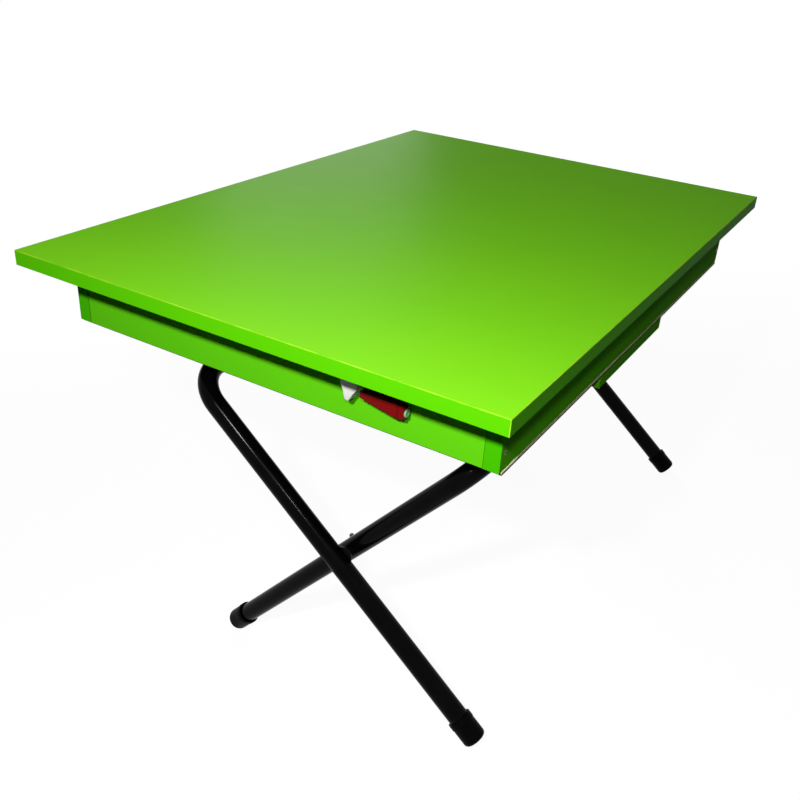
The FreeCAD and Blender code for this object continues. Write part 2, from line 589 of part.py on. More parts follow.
def build():
    """Every piece by name, in the frame of the top."""
    pieces = {}
    pieces["lid_board"], pieces["lid_band"] = lid()
    pieces.update(tray_panels())
    bottom_x = TRAY_X + HARDBOARD_PROUD
    bottom_y = TRAY_Y - HARDBOARD_SETBACK
    pieces["tray_bottom"] = box((-bottom_x, -bottom_y, TRAY_UNDER), (bottom_x, bottom_y, WALL_FOOT))
    half_bearer = BEARER_LENGTH / 2
    pieces["bearer"] = board((-TRAY_X, -half_bearer, BEARER_UNDER), (TRAY_X, half_bearer, TRAY_UNDER))
    for name, side in SIDES:
        tray_leaf, lid_leaf, pin = hinge(side * HINGE_Y)
        pieces["hinge_tray_leaf_" + name] = tray_leaf
        pieces["hinge_lid_leaf_" + name] = lid_leaf
        pieces["hinge_pin_" + name] = pin
        pieces["bearing_block_" + name] = bearing_block(side * SUPPORT_Y)
        pieces["slide_guide_" + name], pieces["glide_strip_" + name] = slide_guide(side * SUPPORT_Y)
    outer_stance = Placement(Vector(OUTER_CROSSBAR_X, 0, CROSSBAR_Z), Rotation(BACK, OUTER_ANGLE))
    inner_stance = Placement(Vector(INNER_CROSSBAR_X, 0, CROSSBAR_Z), Rotation(BACK, 180 - INNER_ANGLE))
    pieces["outer_frame"] = leg_frame(OUTER_HALF_SPAN, OUTER_LENGTH, OUTER_PIVOT, outer_stance)
    pieces["inner_frame"] = leg_frame(INNER_HALF_SPAN, INNER_LENGTH, INNER_PIVOT, inner_stance)
    for name, side in SIDES:
        pieces["outer_cap_" + name] = foot_cap(side * OUTER_HALF_SPAN, OUTER_LENGTH, outer_stance)
        pieces["inner_cap_" + name] = foot_cap(side * INNER_HALF_SPAN, INNER_LENGTH, inner_stance)
        stud, spacer, washer, nut = pivot(side)
        pieces["pivot_stud_" + name] = stud
        pieces["pivot_spacer_" + name] = spacer
        pieces["pivot_washer_" + name] = washer
        pieces["wing_nut_" + name] = nut
    pieces["keeper"] = keeper()
    pieces["catch_rail"] = catch_rail()
    pieces["catch_bolt"], pieces["catch_button"] = catch_bolt()
    for name, (size, spots) in screw_spots().items():
        drill(pieces, name, *screw_set(size, spots))
    drill(pieces, "bottom_nails", *nail_set(nail_spots()))
    return pieces


def drill(pieces, name, fasteners, holes):
    """Add a set of fasteners, and cut its holes in each piece that they pass through."""
    for other, shape in pieces.items():
        near = [hole for hole in holes if shape.BoundBox.intersect(hole.BoundBox)]
        met = [hole for hole in near if shape.common(hole).Volume > FIT]
        if met:
            pieces[other] = shape.cut(met)
    pieces[name] = fasteners


def main():
    os.makedirs("parts", exist_ok=True)
    for name, shape in build().items():
        stood = shape.copy()
        stood.Placement = STAND.multiply(stood.Placement)
        stood.exportStep("parts/" + name + ".step")


main()
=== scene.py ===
"""Folding sewing table: looks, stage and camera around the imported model.

Every length is in metres, apart from the catch's steps, which are in millimetres. The top's own frame
has its zero at the middle of the lid's upper face, X towards the sitter, Y along the long side and Z
square to the lid.
"""
import json
import math

import bmesh
import bpy
from mathutils import Euler, Matrix, Vector


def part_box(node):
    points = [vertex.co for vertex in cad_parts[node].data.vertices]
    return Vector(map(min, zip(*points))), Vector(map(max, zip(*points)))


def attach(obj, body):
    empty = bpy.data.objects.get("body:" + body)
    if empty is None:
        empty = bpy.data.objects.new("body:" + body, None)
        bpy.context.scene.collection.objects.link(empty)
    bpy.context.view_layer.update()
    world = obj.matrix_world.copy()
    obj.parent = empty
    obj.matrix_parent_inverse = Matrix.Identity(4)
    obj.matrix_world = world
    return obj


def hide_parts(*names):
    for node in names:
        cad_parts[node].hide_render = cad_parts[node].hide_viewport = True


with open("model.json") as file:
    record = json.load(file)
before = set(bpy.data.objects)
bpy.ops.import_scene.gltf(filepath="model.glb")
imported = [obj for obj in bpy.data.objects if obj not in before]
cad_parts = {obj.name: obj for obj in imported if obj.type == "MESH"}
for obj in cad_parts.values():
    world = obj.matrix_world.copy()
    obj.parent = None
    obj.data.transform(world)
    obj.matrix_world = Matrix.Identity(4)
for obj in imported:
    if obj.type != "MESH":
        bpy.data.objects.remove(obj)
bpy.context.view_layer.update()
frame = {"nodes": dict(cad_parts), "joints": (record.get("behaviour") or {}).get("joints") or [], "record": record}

bl_info = {
    "name": "Folding sewing table",
    "version": (1, 0, 0),
    "blender": (4, 5, 0),
    "location": "3D View > Sidebar > Sewing table",
    "description": "Dresses the pieces of a folding sewing table and sets its stage",
    "category": "Object",
}

MM = 0.001
NODES = frame["nodes"]
JOINTS = {joint["name"]: joint for joint in frame["joints"]}
MOUNTS = {mount["name"]: mount for mount in frame["record"]["mounts"]}
SIDES = ("front", "back")

# The top's frame, from the mount on the work surface
SURFACE = MOUNTS["work_surface"]
SLOPE = math.atan2(SURFACE["axis"][0], SURFACE["axis"][2])
TOP = Matrix.LocRotScale(Vector(SURFACE["pos_m"]), Euler((0.0, SLOPE, 0.0)), None)
INTO_TOP = TOP.inverted()
TOP_X, TOP_Y, TOP_Z = (TOP.to_3x3().col[i] for i in range(3))


def linear(hex_value):
    """Turns an sRGB hex value to a linear colour with alpha."""
    channels = [int(hex_value[i:i + 2], 16) / 255 for i in (0, 2, 4)]
    low = [c / 12.92 for c in channels]
    high = [((c + 0.055) / 1.055) ** 2.4 for c in channels]
    return [a if c <= 0.04045 else b for c, a, b in zip(channels, low, high)] + [1.0]


def colour(name, description, hex_value):
    """A colour that a user can change."""
    return bpy.props.FloatVectorProperty(
        name=name, description=description, subtype="COLOR", size=4, min=0.0, max=1.0,
        default=linear(hex_value))


def length(name, description, default):
    """A length in metres that a user can change."""
    return bpy.props.FloatProperty(
        name=name, description=description, default=default, min=0.0, precision=5, unit="LENGTH")


def spot(name, description, default):
    """A place in metres that a user can change."""
    return bpy.props.FloatVectorProperty(
        name=name, description=description, default=default, subtype="TRANSLATION", unit="LENGTH")


def power(name, description, default):
    """A lamp's power in watts that a user can change."""
    return bpy.props.FloatProperty(
        name=name, description=description, default=default, min=0.0, unit="POWER")


class TableColours(bpy.types.PropertyGroup):
    """Colours of the table's finishes."""
    laminate: colour("Laminate", "Lime laminate on the lid", "90F622")
    laminate_deep: colour("Laminate, deep", "Deeper clouds in the lid's laminate", "8CF120")
    tray: colour("Tray", "Greener laminate on the tray and its bearer", "6ADE16")
    tray_deep: colour("Tray, deep", "Deeper clouds in the tray's laminate", "66D914")
    band: colour("Edge band", "Edge banding of the lid", "62D908")
    end_band: colour("End band", "Deeper banding on the ends of the tray's sides", "4BCB05")
    # The arris colour is partly the paler scraped edge of the banding and partly a painted highlight along its
    # edges
    arris_highlight: colour("Arris", "Scraped edges of the banding", "B2F232")
    glue: colour("Glue line", "Dark line where the tray's boards meet", "1E4A04")
    lacquer: colour("Lacquer", "Pale lacquered face of the hardboard", "E6DDC2")
    hardboard: colour("Hardboard", "Bare brown core of the hardboard", "7A3F20")
    enamel: colour("Enamel", "Black enamel of the leg tubes", "040405")
    polythene: colour("Caps", "Black polythene of the feet's caps", "070708")
    block: colour("Blocks", "Black nylon of the bearing blocks", "121214")
    keeper: colour("Keeper", "White nylon of the keeper and glides", "F0EFEA")
    bolt: colour("Bolt", "Red plastic of the sliding bolt", "7E0908")
    button: colour("Button", "Pale green plastic of the bolt's button", "8CC492")
    zinc: colour("Zinc", "Zinc plate of the hinges, guides and screws", "A6A8A5")
    black_zinc: colour("Black zinc", "Blackened zinc plate of the pivots", "2C2C2A")


class TableSizes(bpy.types.PropertyGroup):
    """Sizes of the finishes and of the pieces modelled here."""
    # The arris width is also the width of the painted highlight along the banding's edges
    arris_highlight: length("Arris", "Width of the scraped edge on the banding", 0.75 * MM)
    seam: length("Seam", "Width of the line where the tray's boards meet", 0.5 * MM)
    pebble: length("Pebble", "Grain of the pressed laminate", 0.7 * MM)
    cloud: length("Cloud", "Clouds in the laminate's colour", 90 * MM)
    peel: length("Orange peel", "Ripple of the sprayed enamel", 2.2 * MM)
    screen: length("Screen", "Wire spacing pressed into the hardboard's back", 1.6 * MM)
    moulded: length("Moulded edge", "Radius on the edges of moulded pieces", 0.6 * MM)
    tube: length("Tube", "Diameter of the leg tubes", 22 * MM)
    bend: length("Bend", "Radius of the tubes' bends, at their middle line", 38 * MM)
    cap: length("Cap", "Diameter of the feet's caps", 26.5 * MM)
    cap_rim: length("Cap rim", "Length of the thicker rim on the caps", 7 * MM)
    cap_round: length("Cap round", "Radius at the end of the caps", 4.5 * MM)
    nut: length("Wing nut", "Radius of a wing nut's hub at its foot", 6 * MM)
    wing: length("Wing", "Thickness of a wing nut's wings", 3 * MM)
    keeper_wall: length("Keeper wall", "Wall in front of the keeper's pocket", 2 * MM)
    keeper_foot: length("Keeper foot", "Thickness of the keeper's screwed foot", 3.8 * MM)
    bolt_nose: length("Bolt nose", "Depth of the bolt at its nose", 6 * MM)
    bolt_body: length("Bolt body", "Length of the bolt in front of its groove", 39 * MM)
    rail_head: length("Rail head", "Length of the rail's head inside the bolt", 20 * MM)
    button: length("Button", "Thickness of the button on the bolt's end", 1.8 * MM)
    play: length("Play", "Room round the bolt in the keeper and on its rail", 0.3 * MM)


class TableStage(bpy.types.PropertyGroup):
    """Camera and lamps."""
    place: spot("Camera", "Where the camera stands", (0.5368, -0.937, 0.7287))
    turn: bpy.props.FloatVectorProperty(
        name="Turn", description="How the camera is turned", subtype="EULER",
        default=[math.radians(a) for a in (64.535, 1.99, 32.074)])
    lens: bpy.props.FloatProperty(
        name="Lens", description="Focal length on a 36 mm wide sensor", unit="CAMERA", default=40.89)
    key_place: spot("Key", "Where the soft box stands", (0.34, -1.0, 0.91))
    key_size: length("Key size", "Side of the soft box", 0.05)
    key_power: power("Key power", "Power of the soft box", 7.3)
    side_place: spot("Side light", "Where the weak soft box at the right stands", (0.54, -0.93, 0.83))
    side_size: length("Side size", "Side of the weak soft box", 0.05)
    side_power: power("Side power", "Power of the weak soft box", 2.3)
    back_place: spot("Back light", "Where the soft box behind the table stands", (-1.4, 1.7, 1.1))
    back_size: length("Back size", "Side of the soft box behind the table", 0.75)
    back_power: power("Back power", "Power of the soft box behind the table", 18.0)
    fill: bpy.props.FloatProperty(
        name="Fill", description="Level of the light from all round", subtype="FACTOR", default=0.018)


class TableSettings(bpy.types.PropertyGroup):
    """All settings of the sewing table."""
    colours: bpy.props.PointerProperty(
        name="Colours", description="Colours of the finishes", type=TableColours)
    sizes: bpy.props.PointerProperty(
        name="Sizes", description="Sizes of the finishes and the modelled pieces", type=TableSizes)
    stage: bpy.props.PointerProperty(
        name="Stage", description="Camera and lamps", type=TableStage)


# Patterns of the finishes. The finest grains are drawn coarser than real, so that close views show them
# The scraper's chatter and strokes make the pale edge line ragged and uneven; that line is partly a painted
# highlight
SCRAPER_CHATTER = 4 * MM
SCRAPER_STROKE = 22 * MM
WOOD_FIBRE = 3 * MM
DULL_PATCH = 40 * MM
DUST_FILM = 14 * MM
MOULD_FLOW = 12 * MM
HANDLING_WEAR = 6 * MM
MOULD_GRAIN = 0.6 * MM
PASSIVE_CLOUD = 9 * MM
SPANGLE = 2.5 * MM
ROLLED_GRAIN = 0.5 * MM
WIPES_PER_CLOUD = 2.5

# Depths of their relief
PEBBLE_DEPTH = 0.02 * MM
BAND_DEPTH = 0.015 * MM
SCREEN_DEPTH = 0.12 * MM
PEEL_DEPTH = 0.003 * MM
MOULD_DEPTH = 0.02 * MM
ROLLED_DEPTH = 0.01 * MM

# Shine of the finishes, kept low because every gloss shows the white surroundings, and their refraction
SATIN_SHINE = 0.0025
MATT_SHINE = 0.0005
BAND_SHINE = 0.002
BOARD_SHINE = 0.02
ENAMEL_SHINE = 0.035
RESIN_IOR = 1.5
BOARD_IOR = 1.45

# Roughness of the finishes, from one end of their pattern to the other
LAMINATE_SHEEN = {"To Min": 0.38, "To Max": 0.42}
BOARD_SHEEN = {"To Min": 0.85, "To Max": 0.4}
ENAMEL_SHEEN = {"To Min": 0.12, "To Max": 0.16}
ZINC_SHEEN = {"To Min": 0.26, "To Max": 0.42}
BAND_ROUGH = 0.36
PAPER_ROUGH = 0.9
POLISHED, DULLED = 0.9, 1.15

# How their colours vary, as shares of the colour
FIBRE_SHADE = {"To Min": 0.65, "To Max": 1.15}
DUST_SHADE = {"From Min": 0.45, "From Max": 0.8, "To Min": 1.0, "To Max": 2.2}
MOULD_SHADE = {"To Min": 0.92, "To Max": 1.04}
ZINC_SHADE = {"To Min": 0.82, "To Max": 1.05}

# Scraped edges, whose pale line is partly a painted highlight along the arris, and seams: shares of their width by
# which they stray and fade, and how strongly they show
RAGGED = 0.15
FADE = 0.2
SEAM_FADE = 0.3
STROKE_STRENGTH = {"From Min": 0.35, "From Max": 0.6, "To Min": 0.4, "To Max": 1.0}
SEAM_STRENGTH = 0.75

# Shares of the hardboard's thickness at which the lacquer starts and is full
SOAK_START = 0.5
SOAK_FULL = 0.6

# Node trees. A colour mix has sockets of one name for each kind of value, so they go by number
SHARE, FIRST, SECOND = 0, 6, 7
# Nearly all values of a noise lie between these two
NOISE = {"From Min": 0.3, "From Max": 0.7}
# A wave's scale of one gives bands that are a twentieth of a turn apart
WAVE_SCALE = math.pi / 20


def plug(tree, node, sockets):
    """Sets a node's sockets: one given a node or an output is linked, any other gets the value."""
    for key, value in sockets.items():
        if isinstance(value, bpy.types.Node):
            value = next(output for output in value.outputs if output.enabled)
        if isinstance(value, bpy.types.NodeSocket):
            tree.links.new(value, node.inputs[key])
        else:
            node.inputs[key].default_value = value


def add_node(tree, kind, sockets=None, **settings):
    """Adds a node with its settings and links."""
    made = tree.nodes.new(kind)
    for name, value in settings.items():
        setattr(made, name, value)
    plug(tree, made, sockets or {})
    return made


def start_material(name):
    """A material with its shader, and the piece's coordinates turned into the top's frame."""
    material = bpy.data.materials.new(name)
    material.use_nodes = True
    tree = material.node_tree
    tree.nodes.clear()
    place = add_node(tree, "ShaderNodeTexCoord").outputs["Object"]
    shift, turn, _ = INTO_TOP.decompose()
    here = add_node(tree, "ShaderNodeMapping", {
        "Vector": place, "Location": shift, "Rotation": turn.to_euler()})
    surface = add_node(tree, "ShaderNodeBsdfPrincipled")
    add_node(tree, "ShaderNodeOutputMaterial", {"Surface": surface})
    return material, tree, here, surface


def melamine_laminate(name, tone, deep_tone, sizes, shine):
    """Melamine laminate pressed on a satin plate: an even sheet with faint clouds and a fine pebble."""
    material, tree, here, surface = start_material(name)
    clouds = add_node(tree, "ShaderNodeTexNoise", {"Vector": here, "Scale": 1 / sizes.cloud, "Detail": 3.0})
    clouded = add_node(tree, "ShaderNodeMix", {
        SHARE: clouds, FIRST: tone, SECOND: deep_tone}, data_type="RGBA")
    wiping = add_node(tree, "ShaderNodeTexNoise", {
        "Vector": here, "Scale": WIPES_PER_CLOUD / sizes.cloud, "Detail": 4.0})
    sheen = add_node(tree, "ShaderNodeMapRange", {"Value": wiping, **NOISE, **LAMINATE_SHEEN})
    pebble = add_node(tree, "ShaderNodeTexNoise", {
        "Vector": here, "Scale": 1 / sizes.pebble, "Detail": 2.0})
    relief = add_node(tree, "ShaderNodeBump", {
        "Height": pebble, "Distance": PEBBLE_DEPTH, "Strength": 1.0})
    plug(tree, surface, {"Base Color": clouded, "Roughness": sheen, "Normal": relief,
                         "IOR": RESIN_IOR, "Specular IOR Level": shine})
    return material


def scrape_and_highlight_edging(name, tone, colours, sizes, seam):
    """Melamine edge banding, ironed on and scraped: pale, ragged edges that are partly a painted highlight, and a
    dark line at a seam.
    """
    material, tree, here, surface = start_material(name)
    edge = reach_in_top("lid_band")[1]
    folded = add_node(tree, "ShaderNodeVectorMath", {0: here}, operation="ABSOLUTE")
    inwards = add_node(tree, "ShaderNodeVectorMath", {0: edge, 1: folded}, operation="SUBTRACT")
    inset = add_node(tree, "ShaderNodeSeparateXYZ", {"Vector": inwards}).outputs
    corner = add_node(tree, "ShaderNodeMath", {0: inset["X"], 1: inset["Y"]}, operation="ADD")
    brink = add_node(tree, "ShaderNodeMath", {0: inset["Z"]}, operation="ABSOLUTE")
    nearest = add_node(tree, "ShaderNodeMath", {0: corner, 1: brink}, operation="MINIMUM")
    chatter = add_node(tree, "ShaderNodeTexNoise", {
        "Vector": here, "Scale": 1 / SCRAPER_CHATTER, "Detail": 2.0})
    ragged = add_node(tree, "ShaderNodeMapRange", {
        "Value": chatter, **NOISE, "To Min": -RAGGED * sizes.arris_highlight, "To Max": RAGGED * sizes.arris_highlight})
    depth = add_node(tree, "ShaderNodeMath", {0: nearest, 1: ragged}, operation="ADD")
    strokes = add_node(tree, "ShaderNodeTexNoise", {
        "Vector": here, "Scale": 1 / SCRAPER_STROKE, "Detail": 2.0})
    strength = add_node(tree, "ShaderNodeMapRange", {"Value": strokes, **STROKE_STRENGTH})
    # How much of the pale edge colour shows: the scraped edge together with a painted highlight along the arris
    scrape_and_highlight = add_node(tree, "ShaderNodeMapRange", {
        "Value": depth, "From Min": (1 - FADE) * sizes.arris_highlight, "From Max": (1 + FADE) * sizes.arris_highlight,
        "To Min": strength, "To Max": 0.0})
    scrape_and_highlight_tone = add_node(tree, "ShaderNodeMix", {
        SHARE: scrape_and_highlight, FIRST: tone, SECOND: colours.arris_highlight}, data_type="RGBA")
    across = add_node(tree, "ShaderNodeSeparateXYZ", {"Vector": folded}).outputs["X"]
    glued = add_node(tree, "ShaderNodeMapRange", {
        "Value": across, "From Min": seam + (1 - SEAM_FADE) * sizes.seam, "From Max": seam + sizes.seam,
        "To Min": SEAM_STRENGTH, "To Max": 0.0})
    lined = add_node(tree, "ShaderNodeMix", {
        SHARE: glued, FIRST: scrape_and_highlight_tone, SECOND: colours.glue}, data_type="RGBA")
    pebble = add_node(tree, "ShaderNodeTexNoise", {
        "Vector": here, "Scale": 1 / sizes.pebble, "Detail": 2.0})
    relief = add_node(tree, "ShaderNodeBump", {
        "Height": pebble, "Distance": BAND_DEPTH, "Strength": 1.0})
    plug(tree, surface, {"Base Color": lined, "Roughness": BAND_ROUGH, "Normal": relief,
                         "IOR": RESIN_IOR, "Specular IOR Level": BAND_SHINE})
    return material


def pressed_hardboard(colours, sizes):
    """Hardboard, lacquered above and bare below: brown fibres and the print of the press's screen."""
    material, tree, here, surface = start_material("hardboard_pressed")
    low, high = span("tray_bottom", TOP_Z)
    thick = high - low
    height = add_node(tree, "ShaderNodeSeparateXYZ", {"Vector": here}).outputs["Z"]
    lacquered = add_node(tree, "ShaderNodeMapRange", {
        "Value": height, "From Min": low + SOAK_START * thick, "From Max": low + SOAK_FULL * thick})
    matted = add_node(tree, "ShaderNodeTexNoise", {"Vector": here, "Scale": 1 / WOOD_FIBRE, "Detail": 5.0})
    fibres = add_node(tree, "ShaderNodeMapRange", {"Value": matted, **NOISE, **FIBRE_SHADE})
    brown = add_node(tree, "ShaderNodeVectorMath", {
        0: colours.hardboard[:3], "Scale": fibres}, operation="SCALE")
    tone = add_node(tree, "ShaderNodeMix", {
        SHARE: lacquered, FIRST: brown, SECOND: colours.lacquer}, data_type="RGBA")
    sheen = add_node(tree, "ShaderNodeMapRange", {"Value": lacquered, **BOARD_SHEEN})
    wires = [add_node(tree, "ShaderNodeTexWave", {
        "Vector": here, "Scale": WAVE_SCALE / sizes.screen}, bands_direction=axis) for axis in ("X", "Y")]
    woven = add_node(tree, "ShaderNodeMath", {0: wires[0], 1: wires[1]}, operation="MAXIMUM")
    bare = add_node(tree, "ShaderNodeMath", {0: 1.0, 1: lacquered}, operation="SUBTRACT")
    printed = add_node(tree, "ShaderNodeMath", {0: woven, 1: bare}, operation="MULTIPLY")
    relief = add_node(tree, "ShaderNodeBump", {
        "Height": printed, "Distance": SCREEN_DEPTH, "Strength": 1.0})
    plug(tree, surface, {"Base Color": tone, "Roughness": sheen, "Normal": relief,
                         "IOR": BOARD_IOR, "Specular IOR Level": BOARD_SHINE})
    return material


def black_enamel(colours, sizes):
    """Steel tube in sprayed black enamel: deep gloss, the ripple of orange peel and a few dull patches."""
    material, tree, here, surface = start_material("black_enamel_sprayed")
    patches = add_node(tree, "ShaderNodeTexNoise", {"Vector": here, "Scale": 1 / DULL_PATCH, "Detail": 3.0})
    sheen = add_node(tree, "ShaderNodeMapRange", {"Value": patches, **NOISE, **ENAMEL_SHEEN})
    dust = add_node(tree, "ShaderNodeTexNoise", {"Vector": here, "Scale": 1 / DUST_FILM, "Detail": 5.0})
    film = add_node(tree, "ShaderNodeMapRange", {"Value": dust, **DUST_SHADE})
    tone = add_node(tree, "ShaderNodeVectorMath", {
        0: colours.enamel[:3], "Scale": film}, operation="SCALE")
    peel = add_node(tree, "ShaderNodeTexNoise", {"Vector": here, "Scale": 1 / sizes.peel, "Detail": 1.0})
    relief = add_node(tree, "ShaderNodeBump", {
        "Height": peel, "Distance": PEEL_DEPTH, "Strength": 1.0})
    plug(tree, surface, {"Base Color": tone, "Roughness": sheen, "Normal": relief,
                         "IOR": RESIN_IOR, "Specular IOR Level": ENAMEL_SHINE})
    return material


def moulded_plastic(name, tone, rough, shine):
    """Injection-moulded plastic: even colour, slightly uneven sheen and the fine grain of the mould."""
    material, tree, here, surface = start_material(name)
    flow = add_node(tree, "ShaderNodeTexNoise", {"Vector": here, "Scale": 1 / MOULD_FLOW, "Detail": 3.0})
    shade = add_node(tree, "ShaderNodeMapRange", {"Value": flow, **NOISE, **MOULD_SHADE})
    toned = add_node(tree, "ShaderNodeVectorMath", {0: tone[:3], "Scale": shade}, operation="SCALE")
    handling = add_node(tree, "ShaderNodeTexNoise", {
        "Vector": here, "Scale": 1 / HANDLING_WEAR, "Detail": 3.0})
    sheen = add_node(tree, "ShaderNodeMapRange", {
        "Value": handling, **NOISE, "To Min": POLISHED * rough, "To Max": DULLED * rough})
    grain = add_node(tree, "ShaderNodeTexNoise", {"Vector": here, "Scale": 1 / MOULD_GRAIN, "Detail": 2.0})
    relief = add_node(tree, "ShaderNodeBump", {
        "Height": grain, "Distance": MOULD_DEPTH, "Strength": 1.0})
    plug(tree, surface, {"Base Color": toned, "Roughness": sheen, "Normal": relief,
                         "IOR": RESIN_IOR, "Specular IOR Level": shine})
    return material


def zinc_plate(name, tone):
    """Steel in zinc plate: metal with a cloudy passivated sheen and a fine rolled grain."""
    material, tree, here, surface = start_material(name)
    passivated = add_node(tree, "ShaderNodeTexNoise", {
        "Vector": here, "Scale": 1 / PASSIVE_CLOUD, "Detail": 4.0})
    shade = add_node(tree, "ShaderNodeMapRange", {"Value": passivated, **NOISE, **ZINC_SHADE})
    toned = add_node(tree, "ShaderNodeVectorMath", {0: tone[:3], "Scale": shade}, operation="SCALE")
    spangle = add_node(tree, "ShaderNodeTexNoise", {"Vector": here, "Scale": 1 / SPANGLE, "Detail": 4.0})
    sheen = add_node(tree, "ShaderNodeMapRange", {"Value": spangle, **NOISE, **ZINC_SHEEN})
    rolled = add_node(tree, "ShaderNodeTexNoise", {
        "Vector": here, "Scale": 1 / ROLLED_GRAIN, "Detail": 2.0})
    relief = add_node(tree, "ShaderNodeBump", {
        "Height": rolled, "Distance": ROLLED_DEPTH, "Strength": 1.0})
    plug(tree, surface, {"Base Color": toned, "Roughness": sheen, "Normal": relief, "Metallic": 1.0})
    return material


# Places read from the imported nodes

def span(node, axis, origin=TOP.translation):
    """Lowest and highest reach of a node along an axis from an origin."""
    reach = [(v.co - origin).dot(axis) for v in NODES[node].data.vertices]
    return min(reach), max(reach)


def reach_in_top(node):
    """Lowest and highest corners of a node in the top's frame."""
    ends = [span(node, axis) for axis in (TOP_X, TOP_Y, TOP_Z)]
    return Vector([low for low, _ in ends]), Vector([high for _, high in ends])


def dress(material, *names):
    """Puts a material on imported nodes."""
    for name in names:
        data = NODES[name].data
        data.materials.clear()
        data.materials.append(material)


def pairs(*stems):
    """The front and back nodes of each stem."""
    return [f"{stem}_{side}" for stem in stems for side in SIDES]


# Modelling

SLIVER = 0.005 * MM
FLOOR_TOUCH = 0.001 * MM
ROUND_SIDES = 40
SMOOTH_ANGLE = math.radians(40.0)


def start_piece(name, add, **settings):
    """Adds a primitive with nothing else selected, its place in its mesh, and opens it for shaping."""
    bpy.ops.object.select_all(action="DESELECT")
    add(**settings)
    piece = bpy.context.object
    piece.name = name
    bpy.ops.object.transform_apply(location=True, rotation=True, scale=True)
    bpy.ops.object.mode_set(mode="EDIT")
    return piece


def start_block(name, low, high):
    """A block between two corners, open for shaping."""
    return start_piece(name, bpy.ops.mesh.primitive_cube_add, size=1.0,
                       location=(low + high) / 2, scale=high - low)


def choose(piece, kind, test):
    """Selects only the faces or edges that pass a test."""
    bpy.ops.mesh.select_mode(type=kind)
    bpy.ops.mesh.select_all(action="DESELECT")
    mesh = bmesh.from_edit_mesh(piece.data)
    for part in {"FACE": mesh.faces, "EDGE": mesh.edges}[kind]:
        if test(part):
            part.select_set(True)
    bmesh.update_edit_mesh(piece.data)


def facing(x=0.0, y=0.0, z=0.0, within=8.0):
    """A test for the faces that look along a direction, within an angle in degrees."""
    way = Vector((x, y, z))
    return lambda face: face.normal.dot(way) > math.cos(math.radians(within))


def extrude(*step):
    """Extrudes what is selected by a step."""
    bpy.ops.mesh.extrude_region_move(TRANSFORM_OT_translate={"value": step})


def draw_out(start, end, scale):
    """Extrudes what is selected from one middle to another and resizes it there."""
    extrude(*(end - start))
    bpy.ops.transform.resize(value=scale, center_override=end)


def close_shell():
    """Closes the mesh, clears slivers, turns its faces outwards and leaves edit mode."""
    bpy.ops.mesh.select_mode(type="VERT")
    bpy.ops.mesh.select_all(action="SELECT")
    bpy.ops.mesh.remove_doubles(threshold=SLIVER)
    bpy.ops.mesh.dissolve_degenerate(threshold=SLIVER)
    bpy.ops.mesh.fill_holes(sides=0)
    bpy.ops.mesh.select_all(action="SELECT")
    bpy.ops.mesh.normals_make_consistent(inside=False)
    bpy.ops.object.mode_set(mode="OBJECT")


def round_edges(piece, radius, segments=3, sharp=30.0):
    """Rounds a piece's edges that are sharper than an angle in degrees."""
    bpy.ops.object.modifier_add(type="BEVEL")
    bevel = piece.modifiers[-1]
    bevel.width = radius
    bevel.segments = segments
    bevel.limit_method = "ANGLE"
    bevel.angle_limit = math.radians(sharp)
    bpy.ops.object.modifier_apply(modifier=bevel.name)


def hold(piece):
    """Makes a piece the only one selected."""
    bpy.ops.object.select_all(action="DESELECT")
    piece.select_set(True)
    bpy.context.view_layer.objects.active = piece


def join_solid(piece, other, operation):
    """Adds another solid to a piece or cuts it out, and deletes the other."""
    hold(piece)
    bpy.ops.object.modifier_add(type="BOOLEAN")
    boolean = piece.modifiers[-1]
    boolean.object = other
    boolean.operation = operation
    boolean.solver = "EXACT"
    bpy.ops.object.modifier_apply(modifier=boolean.name)
    discard(other)
    hold(piece)


def copy_piece(piece, name):
    """A copy with a mesh of its own."""
    hold(piece)
    bpy.ops.object.duplicate()
    copy = bpy.context.object
    copy.name = name
    return copy


def discard(piece):
    """Deletes a piece that has served its use, such as a pattern once its copies are made."""
    hold(piece)
    bpy.ops.object.delete()


def stand(place, across, rise):
    """A frame at a place, with X across and Z along the rise."""
    turn = Matrix((across, rise.cross(across), rise)).transposed()
    return Matrix.Translation(place) @ turn.to_4x4()


def place_piece(piece, placement):
    """Puts a piece where it belongs, with its place in its mesh."""
    hold(piece)
    piece.matrix_world = placement @ piece.matrix_world
    bpy.ops.object.transform_apply(location=True, rotation=True, scale=True)


def cut_at_floor(piece):
    """Cuts off what lies below the floor and closes the cut."""
    hold(piece)
    bpy.ops.object.mode_set(mode="EDIT")
    bpy.ops.mesh.select_all(action="SELECT")
    bpy.ops.mesh.bisect(plane_co=(0, 0, 0), plane_no=(0, 0, 1), threshold=FLOOR_TOUCH,
                        use_fill=True, clear_inner=True)
    bpy.ops.object.mode_set(mode="OBJECT")


def hand_over(piece, material, body, node):
    """Finishes a piece: clean mesh, shading, material, its body and the node that it stands for."""
    hold(piece)
    bpy.ops.object.mode_set(mode="EDIT")
    close_shell()
    bpy.ops.object.shade_smooth_by_angle(angle=SMOOTH_ANGLE)
    piece.data.materials.clear()
    piece.data.materials.append(material)
    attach(piece, body)
    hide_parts(node)


# Leg frames

PIVOT = Vector(JOINTS["leg_cross"]["pos_m"])
BEND_STEPS = 14
CAP_PLAY = 0.15 * MM
CAP_MOUTH = 2 * MM
CAP_STEP = 0.5 * MM
CAP_EDGE = 0.45 * CAP_STEP
CAP_ROUND_STEPS = 7


def leg_stance(part, tube):
    """The frame of a pair of legs, X along the crossbar and Z up the legs, with half their spread."""
    low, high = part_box(f"{part}_frame")
    crossbar = Vector(JOINTS["leg_fold"]["pos_m"])
    if part == "outer":
        crossbar = Vector((low.x + tube / 2, 0.0, high.z - tube / 2))
    rise = (crossbar - PIVOT).normalized()
    return stand(crossbar, Vector((0.0, 1.0, 0.0)), rise), (high.y - low.y - tube) / 2


